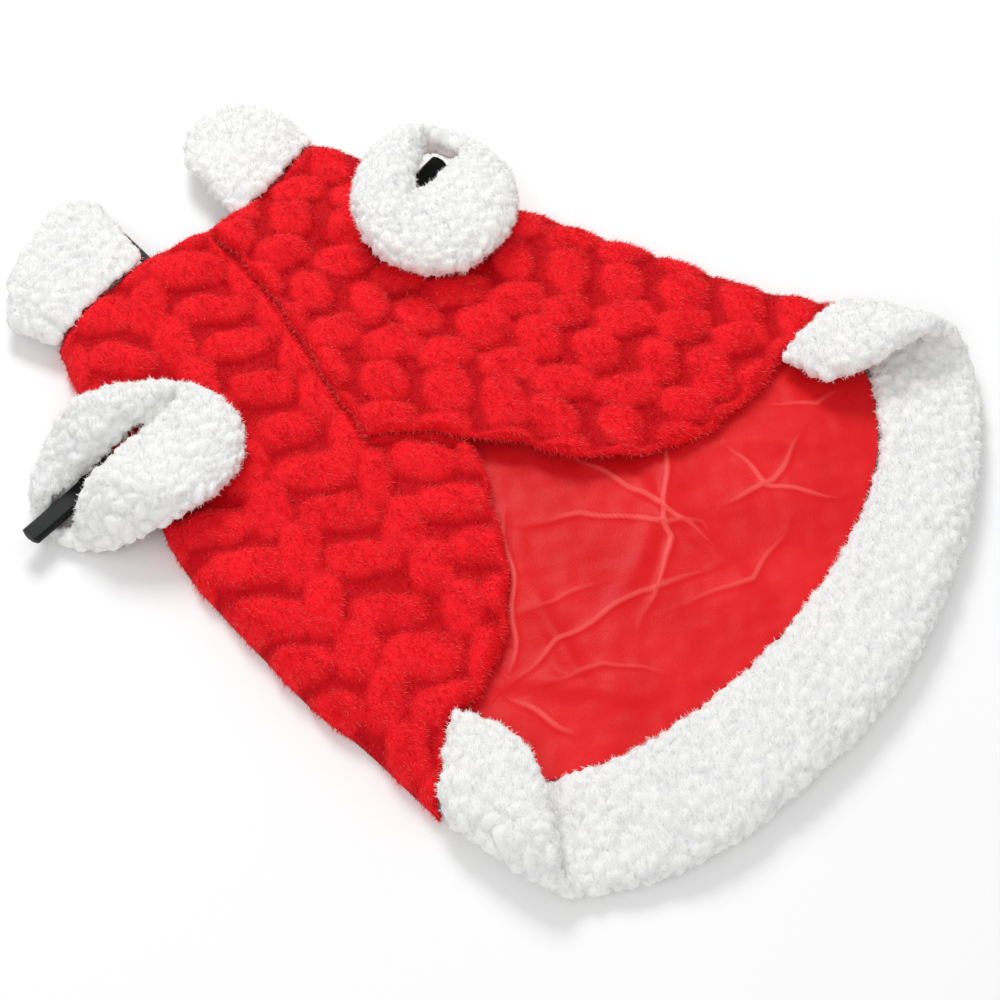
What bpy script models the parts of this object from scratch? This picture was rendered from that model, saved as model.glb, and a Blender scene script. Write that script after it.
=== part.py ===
"""A dog's santa suit laid flat, chest side up, with the hanger it is sold on inside it.

Lengths below are in millimetres in the garment's own plan: X across it, Y from tail to neck,
Z up from the surface it lies on. They become metres, and the plan is centred, at the end.
"""

import math

import bmesh
import bpy
import numpy as np

MM = 0.001

# Thickness of the cloths and the room left between pieces
SEAM_GAP = 0.4
BACK_WALL = 4.0
LINING_WALL = 1.0
FLAP_WALL = 3.0
PAD_HEIGHT = 3.8
SIDE_WALL = 4.2
SIDE_ROUND = 10.0
FLAP_INSIDE = 7.6
OVERLAP_STEP = 4.3
OVERLAP_EDGE_X = 26.0
OVERLAP_RAMP = 14.0

# The armhole runs between these heights in the plan, and the side is closed above and below it
ARMHOLE_LOW_Y = 100.0
ARMHOLE_HIGH_Y = 187.0
ARMHOLE_EASE = 10.0

# Outlines of the two front flaps, each a run of (x, y)
LEFT_SIDE = [(-168, -80), (-165, -60), (-161, -32), (-160, -8), (-154, 25), (-147, 60), (-141, 84),
             (-134, 102), (-118, 145), (-101, 185), (-92, 203), (-81, 224)]
LEFT_LOWER = [(-168, -80), (-150, -69), (-131, -58), (-112, -59), (-95, -55), (-74, -45), (-53, -28),
              (-34, -7), (-19, 11), (-9, 30), (2, 46), (16, 54)]
LEFT_UPPER = [(-81, 224), (-51, 225), (-20, 223), (-2, 219), (10, 214), (22, 209)]
LEFT_FRONT = [(16, 54), (20, 100), (22, 150), (22, 209)]
RIGHT_SIDE = [(172, -67), (163, -45), (156, -27), (150, -6), (145, 20), (139, 45), (133, 72),
              (127, 105), (117, 145), (107, 185), (103, 200), (100, 215)]
# The right flap's own side, cut in for the armhole where the cuff covers it
RIGHT_FLAP_SIDE = RIGHT_SIDE[:8] + [(121, 121), (107, 134), (100, 146), (101, 158), (108, 171), (107, 185),
                                    (103, 200), (100, 215)]
RIGHT_LOWER = [(172, -67), (145, -64), (119, -62), (96, -62), (71, -59), (54, -53), (37, -43),
               (22, -31), (11, -16), (4, 2), (-4, 19), (-14, 38), (-25, 53), (-37, 66)]
RIGHT_UPPER = [(100, 215), (68, 211), (40, 209), (14, 208)]
RIGHT_FRONT = [(-37, 66), (-27, 91), (-10, 130), (5, 167), (14, 208)]

# Where the right flap's edge lies over the left flap: (y, x)
COVER_EDGE = [(-8, 7), (19, -4), (38, -14), (53, -25), (66, -37), (91, -27), (130, -10), (167, 5),
              (208, 14)]

FLAP_ROWS = 41
FLAP_COLUMNS = 18
SIDE_STEPS = 5

# Raised pads of the plush, in columns that run down the garment
# side, column x, column y, lean of a column, column pitch, pad pitch, long pad (half length, half
# width, degrees), second pad (half length, half width, degrees)
PAD_RULES = {
    "left": (-80.0, 48.0, 0.45, 27.5, 25.5, (17.5, 9.0, -50.0), (20.0, 7.6, 42.0)),
    "right": (60.0, 39.0, -0.44, 25.0, 26.0, (13.0, 10.0, 50.0), (13.5, 9.0, -38.0)),
}

# Tail edge of the back panel, under the hem band: (x, y)
TAIL_SEAM = [(-158, -80), (-140, -97), (-110, -119), (-60, -138), (0, -145), (60, -140), (110, -123),
             (142, -98), (160, -72)]
BACK_NECK = [(-74, 221), (-40, 222), (0, 217), (50, 210), (94, 212)]

# Upper edge of the lining, hidden under the flaps: (x, y)
LINING_TOP = [(-150, -52), (-112, -40), (-75, -20), (-42, 12), (-12, 50), (20, 50), (38, -8), (72, -38),
              (112, -46), (152, -48)]
# Main folds of the lining: start (x, y), end (x, y), height, half width
LINING_FOLDS = [
    ((24, -40), (4, -128), 1.7, 5.0),
    ((-52, -36), (-88, -104), 1.5, 5.0),
    ((-36, -78), (36, -60), 1.4, 6.0),
    ((-96, -66), (-70, -116), 1.6, 6.0),
    ((66, -64), (98, -108), 1.3, 6.0),
]

# Hem band, a strip of curly pile 58 mm wide, from the left end on top, round the left fold, along
# the tail and round the right fold: seam edge (x, y, z), free edge (x, y, z), thickness, and the way
# its upper face looks (x part, z part)
HEM_BAND = [
    ((-128, -56, 13.2), (-122, -84, 15), 12.0, 0.00, 1.00),
    ((-137, -60.8, 13.6), (-130, -103, 17), 12.5, 0.00, 1.00),
    ((-149, -67.6, 13.8), (-144, -121, 19), 13.5, -0.15, 1.00),
    ((-159, -74.8, 13.6), (-156, -134, 20), 13.0, -0.60, 0.80),
    ((-167.2, -80.4, 10.5), (-165, -141, 13), 11.5, -1.00, 0.00),
    ((-161, -84, 6.3), (-163, -147, 6.5), 11.0, -0.60, -0.80),
    ((-149, -91, 5.0), (-156, -154, 5.0), 10.0, -0.10, -1.00),
    ((-136, -101, 5.3), (-143, -166, 5.3), 10.6, 0.00, -1.00),
    ((-108, -121, 7.3), (-118, -180, 7.5), 15.0, 0.00, -1.00),
    ((-60, -139, 8.2), (-66, -194.5, 8.5), 17.0, 0.00, -1.00),
    ((0, -146, 8.2), (0, -200.5, 8.5), 17.0, 0.00, -1.00),
    ((60, -141, 8.2), (61, -190.5, 8.5), 17.0, 0.00, -1.00),
    ((110, -124, 7.8), (118, -171, 8.0), 16.0, 0.00, -1.00),
    ((140, -100, 6.3), (156, -151, 6.5), 13.0, 0.00, -1.00),
    ((159, -82, 6.5), (172, -138, 7), 12.0, 0.25, -0.97),
    ((170, -70, 12.0), (179, -126, 17), 12.0, 1.00, 0.00),
    ((160, -63, 14.8), (170, -118, 28), 12.0, 0.55, 0.83),
    ((147, -62, 14.4), (152, -109, 28), 13.0, 0.10, 1.00),
    ((133, -61, 13.8), (134, -101, 23), 12.5, 0.00, 1.00),
    ((120, -60.2, 13.2), (118, -88, 17), 12.0, 0.00, 1.00),
]
HEM_STATIONS = 60
HEM_SECTION = 16

# Collar halves, 60 mm deep, from the front opening round the fold at the side to the back opening:
# neck edge (x, y, z), outer edge (x, y, z), thickness, and the way the outer face looks (x, z)
COLLAR_LEFT = [
    ((-21, 225.5, 16.6), (-6, 270, 14.5), 7.6, 0.00, 1.00),
    ((-36, 226.5, 17.2), (-20, 281, 15), 8.0, 0.00, 1.00),
    ((-55, 226.5, 16.8), (-46, 275, 15), 8.2, 0.00, 1.00),
    ((-72, 225.6, 15.2), (-68, 268, 13.5), 8.4, -0.50, 0.86),
    ((-82, 225.2, 9.8), (-86, 251, 9.5), 8.5, -1.00, 0.00),
    ((-74, 225, 4.3), (-76, 260, 4.3), 7.6, -0.50, -0.86),
    ((-56, 224.0, 3.3), (-50, 271, 3.3), 7.0, 0.00, -1.00),
    ((-38, 224.5, 3.3), (-26, 277, 3.3), 7.0, 0.00, -1.00),
    ((-24, 223.5, 3.3), (-12, 269, 3.3), 6.8, 0.00, -1.00),
]
COLLAR_RIGHT = [
    ((31, 209.8, 13.6), (44, 253, 13), 8.6, 0.00, 1.00),
    ((44, 210.6, 13.6), (55, 263, 13), 9.5, 0.00, 1.00),
    ((62, 212.0, 13.6), (71, 268, 13), 9.8, 0.00, 1.00),
    ((84, 214.6, 13.2), (88, 263, 12), 9.5, 0.50, 0.86),
    ((96, 217.0, 9.0), (98, 246, 9.4), 8.5, 1.00, 0.00),
    ((88, 213.8, 4.6), (91, 254, 4.6), 8.0, 0.50, -0.86),
    ((70, 212.4, 3.6), (75, 262, 3.6), 8.0, 0.00, -1.00),
    ((52, 211.6, 3.6), (60, 257, 3.6), 8.0, 0.00, -1.00),
    ((37, 210.8, 3.6), (49, 247, 3.6), 7.6, 0.00, -1.00),
]
COLLAR_STATIONS = 26
COLLAR_SECTION = 14

# Sleeve cuffs, soft rolls round the armholes, half on the chest and half beside it: hole centre
# (x, y), hole half length, half width inboard and half width outboard, how late it widens, its turn in
# degrees; outside centre (x, y), outside half length and half width, its turn; half height inboard,
# towards the neck, outboard and towards the tail; and the side of the garment (-1 left, 1 right)
CUFFS = {
    "cuff_left": ((-119.0, 147.0), (38.0, 1.0, 10.4), 3.0, -5.0, (-116.5, 136.5), (51.0, 38.5), -34.0,
                  (9.0, 9.5, 3.6, 8.2), -1),
    "cuff_right": ((108.5, 142.8), (20.0, 1.8, 11.6), 1.0, 14.0, (92.4, 128.0), (48.0, 41.0), 36.0,
                   (9.2, 8.0, 6.6, 8.4), 1),
}
CUFF_STATIONS = 44
CUFF_SECTION = 12
CUFF_UNDER_BAR = 8.0
CHEST_TOP = 15.1
CHEST_EDGE_CLEAR = 4.0
CHEST_EDGE_DROP = 32.0
BAR_CLEAR = 10.0

# Hanger: a flat moulded bar with a flat hook
HANGER_X = -24.0
HANGER_HALF_SPAN = 149.0
HANGER_TOP_Y = 221.0
HANGER_RISE = 70.5
HANGER_SHOULDER = 0.8
HANGER_BAR_WIDTH = 10.0
HANGER_BAR_THICKNESS = 4.6
HANGER_Z = 7.0
HANGER_TIP_LIFT = 4.4
HANGER_STATIONS = 34
HOOK_WIDTH = 4.6
HOOK_THICKNESS = 3.6
HOOK_RADIUS = 19.0
HOOK_STEM_X = -16.0
HOOK_STEM_LEAN = 4.0
HOOK_STEM_TOP_Y = 246.0
HOOK_Z = 9.0
HOOK_STATIONS = 30

COLOURS = {
    "plush": ((0.72, 0.008, 0.018, 1.0), 0.9),
    "satin": ((0.78, 0.022, 0.030, 1.0), 0.45),
    "pile": ((0.88, 0.87, 0.85, 1.0), 0.95),
    "plastic": ((0.012, 0.014, 0.014, 1.0), 0.4),
}


def clear_scene():
    for item in list(bpy.data.objects):
        bpy.data.objects.remove(item, do_unlink=True)


def ease(value):
    """0 below 0, 1 above 1, smooth between."""
    t = np.clip(value, 0.0, 1.0)
    return t * t * (3.0 - 2.0 * t)


def curve_through(table):
    """A smooth curve through a short table of rows, read at 0 to 1 of its plan length."""
    rows = np.array([np.hstack([np.ravel(cell) for cell in row]) for row in table], float)
    steps = np.linalg.norm(np.diff(rows[:, :2], axis=0), axis=1)
    if rows.shape[1] > 4:
        middles = (rows[:, 0:3] + rows[:, 3:6]) / 2
        steps = np.linalg.norm(np.diff(middles, axis=0), axis=1)
    knots = np.concatenate([[0.0], np.cumsum(steps)]) / np.sum(steps)
    slopes = np.gradient(rows, knots, axis=0)

    def read(at):
        at = np.clip(np.atleast_1d(np.asarray(at, float)), 0.0, 1.0)
        low = np.clip(np.searchsorted(knots, at, side="right") - 1, 0, len(knots) - 2)
        span = (knots[low + 1] - knots[low])[:, None]
        t = (at[:, None] - knots[low][:, None]) / span
        return ((2 * t**3 - 3 * t**2 + 1) * rows[low] + (t**3 - 2 * t**2 + t) * span * slopes[low]
                + (3 * t**2 - 2 * t**3) * rows[low + 1] + (t**3 - t**2) * span * slopes[low + 1])

    return read


def patch(side, front, lower, upper):
    """A plan surface between four edge curves: u from side to front, v from lower to upper."""
    side, front, lower, upper = [curve_through(edge) for edge in (side, front, lower, upper)]

    def read(u, v):
        u = np.asarray(u, float)
        v = np.asarray(v, float)
        at_side, at_front = side(v), front(v)
        at_lower, at_upper = lower(u), upper(u)
        u, v = u[:, None], v[:, None]
        corners = ((1 - u) * (1 - v) * lower(0.0) + u * (1 - v) * lower(1.0)
                   + (1 - u) * v * upper(0.0) + u * v * upper(1.0))
        return (1 - u) * at_side + u * at_front + (1 - v) * at_lower + v * at_upper - corners

    return read


def hanger_line(x):
    """Plan height of the middle of the hanger's bar: a bell that runs level past its shoulders."""
    reach = np.abs(np.asarray(x, float) - HANGER_X) / HANGER_HALF_SPAN
    turn = np.clip(reach / HANGER_SHOULDER, 0.0, 1.0)
    return HANGER_TOP_Y - HANGER_RISE * (1.0 - np.cos(math.pi * turn)) / 2.0


def hanger_height(x):
    reach = np.clip(np.abs(np.asarray(x, float) - HANGER_X) / HANGER_HALF_SPAN, 0.0, 1.2)
    return HANGER_Z + HANGER_TIP_LIFT * reach**2


def hanger_lift(x, y):
    """How far the hanger's bar holds the chest up over it."""
    reach = np.clip(np.abs(x - HANGER_X) / HANGER_HALF_SPAN, 0.0, 1.0)
    amount = 3.0 + HANGER_TIP_LIFT * reach**2
    return amount * np.exp(-((y - hanger_line(x)) / 24.0) ** 2)


def pads(which, x, y):
    """Height of the raised pads, 0 to 1, at plan points."""
    column_x, column_y, lean, pitch, pad_pitch, first, second = PAD_RULES[which]
    across = x - column_x - lean * (y - column_y)
    nearest = np.round(across / pitch)
    height = np.zeros_like(x)
    for side in (-1, 0, 1):
        column = nearest + side
        odd = np.mod(column, 2) == 1
        phase = np.where(np.mod(column, 4) == 2, 0.45, 0.0)
        row = np.round((column_y - y) / pad_pitch - phase)
        for step in (-1, 0, 1):
            pad_y = column_y - (row + step + phase) * pad_pitch
            pad_x = column_x + column * pitch + lean * (pad_y - column_y)
            for is_odd, (half_long, half_wide, degrees) in ((False, first), (True, second)):
                turn = math.radians(degrees)
                along = (x - pad_x) * math.cos(turn) + (y - pad_y) * math.sin(turn)
                over = -(x - pad_x) * math.sin(turn) + (y - pad_y) * math.cos(turn)
                reach = (np.abs(along / half_long) ** 3 + np.abs(over / half_wide) ** 3) ** (1 / 3)
                crown = np.sqrt(np.clip(1.0 - reach**2.5, 0.0, 1.0))
                height = np.where(odd == is_odd, np.maximum(height, crown), height)
    return height


def material(name, kind):
    colour, roughness = COLOURS[kind]
    made = bpy.data.materials.new(name)
    made.use_nodes = True
    shader = made.node_tree.nodes["Principled BSDF"]
    shader.inputs["Base Color"].default_value = colour
    shader.inputs["Roughness"].default_value = roughness
    shader.inputs["Metallic"].default_value = 0.0
    return made


def make_object(name, bm, kind):
    """Close the work on a piece: outward faces, smooth shading, its own material."""
    bmesh.ops.recalc_face_normals(bm, faces=bm.faces[:])
    mesh = bpy.data.meshes.new(name)
    bm.to_mesh(mesh)
    bm.free()
    mesh.shade_smooth()
    mesh.set_sharp_from_angle(angle=math.radians(50))
    made = bpy.data.objects.new(name, mesh)
    bpy.context.collection.objects.link(made)
    mesh.materials.append(material(name, kind))
    return made


def wall(name, outer, inner, kind):
    """A closed wall between two grids of points, rows by columns."""
    bm = bmesh.new()
    rows, columns = outer.shape[:2]
    tops = [[bm.verts.new(outer[r, c] * MM) for c in range(columns)] for r in range(rows)]
    lows = [[bm.verts.new(inner[r, c] * MM) for c in range(columns)] for r in range(rows)]
    for r in range(rows - 1):
        for c in range(columns - 1):
            bm.faces.new((tops[r][c], tops[r][c + 1], tops[r + 1][c + 1], tops[r + 1][c]))
            bm.faces.new((lows[r][c], lows[r + 1][c], lows[r + 1][c + 1], lows[r][c + 1]))
    rim = ([(0, c) for c in range(columns)] + [(r, columns - 1) for r in range(1, rows)]
           + [(rows - 1, c) for c in range(columns - 2, -1, -1)] + [(r, 0) for r in range(rows - 2, 0, -1)])
    for (r1, c1), (r2, c2) in zip(rim, rim[1:] + rim[:1]):
        bm.faces.new((tops[r2][c2], tops[r1][c1], lows[r1][c1], lows[r2][c2]))
    bmesh.ops.triangulate(bm, faces=bm.faces[:])
    return make_object(name, bm, kind)


def roll(name, rings, kind, closed):
    """A closed body through rings of points: a loop of them, or a run with capped ends."""
    bm = bmesh.new()
    loops = [[bm.verts.new(point * MM) for point in ring] for ring in rings]
    count = len(loops[0])
    pairs = list(zip(loops, loops[1:] + loops[:1])) if closed else list(zip(loops, loops[1:]))
    for first, second in pairs:
        for k in range(count):
            after = (k + 1) % count
            bm.faces.new((first[k], first[after], second[after], second[k]))
    if not closed:
        for ring in (loops[0], loops[-1]):
            middle = bm.verts.new(sum((v.co for v in ring), ring[0].co * 0) / count)
            for k in range(count):
                bm.faces.new((ring[k], ring[(k + 1) % count], middle))
    bmesh.ops.triangulate(bm, faces=bm.faces[:])
    return make_object(name, bm, kind)


def flap(name, which, edges, inside, pad_mask):
    """A front flap: its top, and the side that turns down to the surface outside the armhole."""
    surface = patch(*edges)
    side = curve_through(edges[0])
    front = curve_through(edges[1])
    turns = np.linspace(0.0, math.pi / 2, SIDE_STEPS)
    outer = np.zeros((FLAP_ROWS, SIDE_STEPS + FLAP_COLUMNS, 3))
    inner = np.zeros_like(outer)
    for r, v in enumerate(np.linspace(0.0, 1.0, FLAP_ROWS)):
        width = float(np.linalg.norm(front(v)[0] - side(v)[0]))
        round_over = SIDE_ROUND * (1.0 - np.cos(turns))
        round_under = SIDE_WALL + (SIDE_ROUND - SIDE_WALL) * (1.0 - np.cos(turns))
        flat = np.linspace(SIDE_ROUND, width, FLAP_COLUMNS + 1)[1:]
        u_over = np.concatenate([round_over, flat]) / width
        u_under = np.concatenate([round_under, flat]) / width
        plan_over = surface(u_over, np.full(len(u_over), v))
        plan_under = surface(u_under, np.full(len(u_under), v))
        edge_y = side(v)[0, 1]
        opened = (ease((edge_y - ARMHOLE_LOW_Y) / ARMHOLE_EASE)
                  * ease((ARMHOLE_HIGH_Y - edge_y) / ARMHOLE_EASE))
        rise = np.concatenate([np.sin(turns), np.ones(FLAP_COLUMNS)])
        ceiling = inside(plan_under[:, 0], plan_under[:, 1])
        foot = opened * ceiling
        to_edge = np.minimum(np.minimum(v, 1.0 - v) * (FLAP_ROWS - 1) / 1.5, (width - u_over * width) / 7.0)
        fade = ease(to_edge)
        relief = PAD_HEIGHT * pads(which, plan_over[:, 0], plan_over[:, 1])
        relief = relief * fade * pad_mask(plan_over[:, 0], plan_over[:, 1])
        skin = inside(plan_over[:, 0], plan_over[:, 1]) + FLAP_WALL * (0.75 + 0.25 * fade)
        outward = (plan_over[0] - plan_over[-1]) / np.linalg.norm(plan_over[0] - plan_over[-1])
        bulge = 0.35 * relief * np.concatenate([np.cos(turns), np.zeros(FLAP_COLUMNS)])
        bulge[0] = 0.0
        outer[r, :, :2] = plan_over + outward * bulge[:, None]
        outer[r, :, 2] = foot + (skin - foot) * rise + relief * rise
        inner[r, :, :2] = plan_under
        inner[r, :, 2] = foot + (ceiling - foot) * rise
    return wall(name, outer, inner, "plush")


def left_inside(x, y):
    return FLAP_INSIDE + hanger_lift(x, y)


def right_inside(x, y):
    over = ease((OVERLAP_EDGE_X + OVERLAP_RAMP - x) / OVERLAP_RAMP)
    return FLAP_INSIDE + hanger_lift(x, y) + OVERLAP_STEP * over


def left_mask(x, y):
    """The left flap's pads lie flat where the right flap covers them."""
    cover = np.array(COVER_EDGE, float)
    edge = np.interp(y, cover[:, 0], cover[:, 1])
    return ease((edge - 2.0 - x) / 8.0)


def all_raised(x, y):
    return np.ones_like(x)


def back_panel():
    inset = SIDE_WALL + 3 * SEAM_GAP
    left = [TAIL_SEAM[0]] + [(x + inset + 1.0, y) for x, y in LEFT_SIDE[1:-1]] + [BACK_NECK[0]]
    right = [TAIL_SEAM[-1]] + [(x - inset - 1.0, y) for x, y in RIGHT_SIDE[1:-1]] + [BACK_NECK[-1]]
    surface = patch(left, right, TAIL_SEAM, BACK_NECK)
    rows, columns = 20, 13
    top = np.zeros((rows, columns, 3))
    for r, v in enumerate(np.linspace(0.0, 1.0, rows)):
        top[r, :, :2] = surface(np.linspace(0.0, 1.0, columns), np.full(columns, v))
    low = top.copy()
    top[:, :, 2] = BACK_WALL
    return wall("back_panel", top, low, "plush")


def lining_folds(x, y):
    height = np.zeros_like(x)
    for start, end, tall, half_width in LINING_FOLDS:
        start, end = np.array(start, float), np.array(end, float)
        run = end - start
        t = np.clip(((x - start[0]) * run[0] + (y - start[1]) * run[1]) / (run @ run), 0.0, 1.0)
        away = np.hypot(x - start[0] - t * run[0], y - start[1] - t * run[1])
        swell = np.exp(-((away / half_width) ** 2)) * np.sin(math.pi * (0.1 + 0.8 * t))
        height = np.maximum(height, tall * swell)
    return height


def back_lining():
    low_edge = [(x * 0.985, y + 1.5) for x, y in TAIL_SEAM]
    sides = [[low_edge[0], LINING_TOP[0]], [low_edge[-1], LINING_TOP[-1]]]
    surface = patch(sides[0], sides[1], low_edge, LINING_TOP)
    rows, columns = 15, 30
    top = np.zeros((rows, columns, 3))
    for r, v in enumerate(np.linspace(0.0, 1.0, rows)):
        top[r, :, :2] = surface(np.linspace(0.0, 1.0, columns), np.full(columns, v))
    rise = lining_folds(top[:, :, 0], top[:, :, 1])
    low = top.copy()
    low[:, :, 2] = BACK_WALL + SEAM_GAP + rise
    top[:, :, 2] = low[:, :, 2] + LINING_WALL
    return wall("back_lining", top, low, "satin")


def strip(name, table, stations, section, kind):
    """A padded strip of pile along a table of stations, with rounded long edges and ends."""
    read = curve_through(table)
    along = np.linspace(0.0, 1.0, stations)
    rows = read(along)
    rings = []
    for k, row in enumerate(rows):
        seam, free, thickness = row[0:3], row[3:6], row[6]
        face = np.array([row[7], 0.0, row[8]]) / np.hypot(row[7], row[8])
        middle, reach = (seam + free) / 2, (free - seam) / 2
        to_end = min(k, stations - 1 - k) / 2.0
        shrink = 1.0 if to_end >= 1.0 else math.sqrt(1.0 - (1.0 - to_end) ** 2) * 0.55 + 0.45
        ring = []
        for step in range(section):
            angle = 2 * math.pi * (step + 0.5) / section
            across, over = math.cos(angle), math.sin(angle)
            across = math.copysign(abs(across) ** 0.75, across)
            over = math.copysign(abs(over) ** 0.7, over)
            fuller = 0.92 + 0.12 * across
            raised = face * thickness / 2 * over * fuller * shrink
            point = middle + reach * across * (0.9 + 0.1 * shrink) + raised
            point[2] = max(point[2], 0.0)
            ring.append(point)
        rings.append(ring)
    return roll(name, rings, kind, closed=False)


def chest_below(x, y, side_sign):
    """Height that a cuff lies on: the chest's top, sinking to the surface beyond the side."""
    side = np.array(LEFT_SIDE if side_sign < 0 else RIGHT_SIDE, float)
    edge = np.interp(y, side[:, 1], side[:, 0])
    outside = (x - edge) * side_sign
    level = CHEST_TOP + hanger_lift(x, y)
    return level * (1.0 - np.clip((outside - CHEST_EDGE_CLEAR) / CHEST_EDGE_DROP, 0.0, 1.0))


def bar_below(x, y):
    """Height of the hanger's bar under a cuff, with a margin on both sides of it."""
    top = hanger_height(x) + HANGER_BAR_THICKNESS / 2 + SEAM_GAP
    return top * ease((BAR_CLEAR + 3.0 - abs(y - hanger_line(x))) / 3.0)


def rounded_loop(angle, centre, half, turn, squareness):
    """A point of a loop between an ellipse (1) and a rectangle (towards 0), turned by some degrees."""
    across, along = math.cos(angle), math.sin(angle)
    across = half[0] * math.copysign(abs(across) ** squareness, across)
    along = half[1] * math.copysign(abs(along) ** squareness, along)
    turn = math.radians(turn)
    return np.array([centre[0] + across * math.cos(turn) - along * math.sin(turn),
                     centre[1] + across * math.sin(turn) + along * math.cos(turn)])


def cuff(name):
    hole_centre, hole_half, late, hole_turn, out_centre, out_half, out_turn, talls, side_sign = CUFFS[name]
    inboard, neckward, outboard, tailward = talls
    rings = []
    for angle in np.linspace(0.0, 2 * math.pi, CUFF_STATIONS, endpoint=False):
        outward = math.cos(angle) * side_sign
        along = math.sin(angle)
        spread = ((1.0 + math.copysign(abs(outward) ** 0.5, outward)) / 2) ** late
        hole_width = hole_half[1] + (hole_half[2] - hole_half[1]) * spread
        hole = rounded_loop(angle, hole_centre, (hole_half[0], hole_width), hole_turn, 0.5)
        out = rounded_loop(angle - math.radians(out_turn), out_centre, out_half, out_turn, 1.0)
        end_tall = inboard if outward < 0 else max(outboard, CUFF_UNDER_BAR)
        side_tall = neckward if along > 0 else tailward
        tall = end_tall + (side_tall - end_tall) * along**2
        goes_under = outboard < CUFF_UNDER_BAR and outward > 0.80
        if outboard < CUFF_UNDER_BAR:
            tall += (outboard - tall) * float(ease((outward - 0.80) / 0.10))
        middle, reach = (hole + out) / 2, (out - hole) / 2
        support = float(chest_below(middle[0], middle[1], side_sign))
        ring = []
        for step in range(CUFF_SECTION):
            phi = 2 * math.pi * (step + 0.5) / CUFF_SECTION
            over, up = math.cos(phi), math.sin(phi)
            plan = middle + reach * math.copysign(abs(over) ** 0.85, over) / math.cos(math.pi / CUFF_SECTION)
            level = support + tall * (1.0 + math.copysign(abs(up) ** 0.85, up))
            below = float(chest_below(plan[0], plan[1], side_sign))
            if not goes_under:
                below = max(below, float(bar_below(plan[0], plan[1])))
            ring.append(np.array([plan[0], plan[1], max(level, below)]))
        rings.append(ring)
    return roll(name, rings, "pile", closed=True)


def bar_ring(middle, across, up, width, thickness):
    """Eight points of a flat bar's section with its corners taken off."""
    cut = 0.3 * thickness
    half_w, half_t = width / 2, thickness / 2
    corners = [(half_w, half_t - cut), (half_w - cut, half_t),
               (cut - half_w, half_t), (-half_w, half_t - cut),
               (-half_w, cut - half_t), (cut - half_w, -half_t),
               (half_w - cut, -half_t), (half_w, cut - half_t)]
    return [middle + across * a + up * b for a, b in corners]


def swept_bar(name, path, width, thickness, round_ends):
    """A flat bar along a path of (x, y, z) points, lying flat."""
    up = np.array([0.0, 0.0, 1.0])
    rings = []
    tangents = np.gradient(path, axis=0)
    for k, point in enumerate(path):
        ahead = tangents[k] / np.linalg.norm(tangents[k])
        across = np.cross(up, ahead)
        across = across / np.linalg.norm(across)
        shrink = round_ends if k in (0, len(path) - 1) else 1.0
        rings.append(bar_ring(point, across, up, width * shrink, thickness))
    return roll(name, rings, "plastic", closed=False)


def hanger():
    reach = np.sin(np.linspace(-math.pi / 2, math.pi / 2, HANGER_STATIONS))
    reach = np.sign(reach) * np.abs(reach) ** 1.15
    x = HANGER_X + HANGER_HALF_SPAN * reach
    bar = swept_bar("hanger", np.stack([x, hanger_line(x), hanger_height(x)], axis=1),
                    HANGER_BAR_WIDTH, HANGER_BAR_THICKNESS, 0.62)
    stem_y = np.linspace(HANGER_TOP_Y + 1.0, HOOK_STEM_TOP_Y, 6)
    stem_x = np.linspace(HOOK_STEM_X, HOOK_STEM_X + HOOK_STEM_LEAN, 6)
    stem = np.stack([stem_x, stem_y, np.linspace(HANGER_Z, HOOK_Z, 6)], axis=1)
    sweep = np.radians(np.linspace(0.0, 236.0, HOOK_STATIONS))[1:]
    centre = np.array([HOOK_STEM_X + HOOK_STEM_LEAN - HOOK_RADIUS, HOOK_STEM_TOP_Y])
    bend = np.stack([centre[0] + HOOK_RADIUS * np.cos(sweep), centre[1] + HOOK_RADIUS * np.sin(sweep),
                     np.full(len(sweep), HOOK_Z)], axis=1)
    hook = swept_bar("hook_to_join", np.vstack([stem, bend]), HOOK_WIDTH, HOOK_THICKNESS, 0.7)
    join = bar.modifiers.new("join_hook", "BOOLEAN")
    join.operation = "UNION"
    join.solver = "EXACT"
    join.object = hook
    hook.hide_render = True
    hook.display_type = "WIRE"
    return bar, hook


def centre_on_floor(pieces):
    """Put the middle of the whole thing's plan at the origin, on the surface it lies on."""
    points = np.array([vertex.co for piece in pieces for vertex in piece.data.vertices])
    shift = (points.min(axis=0) + points.max(axis=0)) / 2
    for piece in pieces:
        for vertex in piece.data.vertices:
            vertex.co.x -= shift[0]
            vertex.co.y -= shift[1]


def main():
    clear_scene()
    pieces = [
        back_panel(),
        back_lining(),
        flap("flap_left", "left", (LEFT_SIDE, LEFT_FRONT, LEFT_LOWER, LEFT_UPPER), left_inside, left_mask),
        flap("flap_right", "right", (RIGHT_FLAP_SIDE, RIGHT_FRONT, RIGHT_LOWER, RIGHT_UPPER), right_inside,
             all_raised),
        strip("hem_band", HEM_BAND, HEM_STATIONS, HEM_SECTION, "pile"),
        strip("collar_left", COLLAR_LEFT, COLLAR_STATIONS, COLLAR_SECTION, "pile"),
        strip("collar_right", COLLAR_RIGHT, COLLAR_STATIONS, COLLAR_SECTION, "pile"),
        cuff("cuff_left"),
        cuff("cuff_right"),
    ]
    pieces += list(hanger())
    centre_on_floor(pieces)


main()
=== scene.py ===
"""A dog's santa suit laid flat, dressed over its solids: plush flaps, satin lining, curly pile, hanger."""

import math

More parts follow.
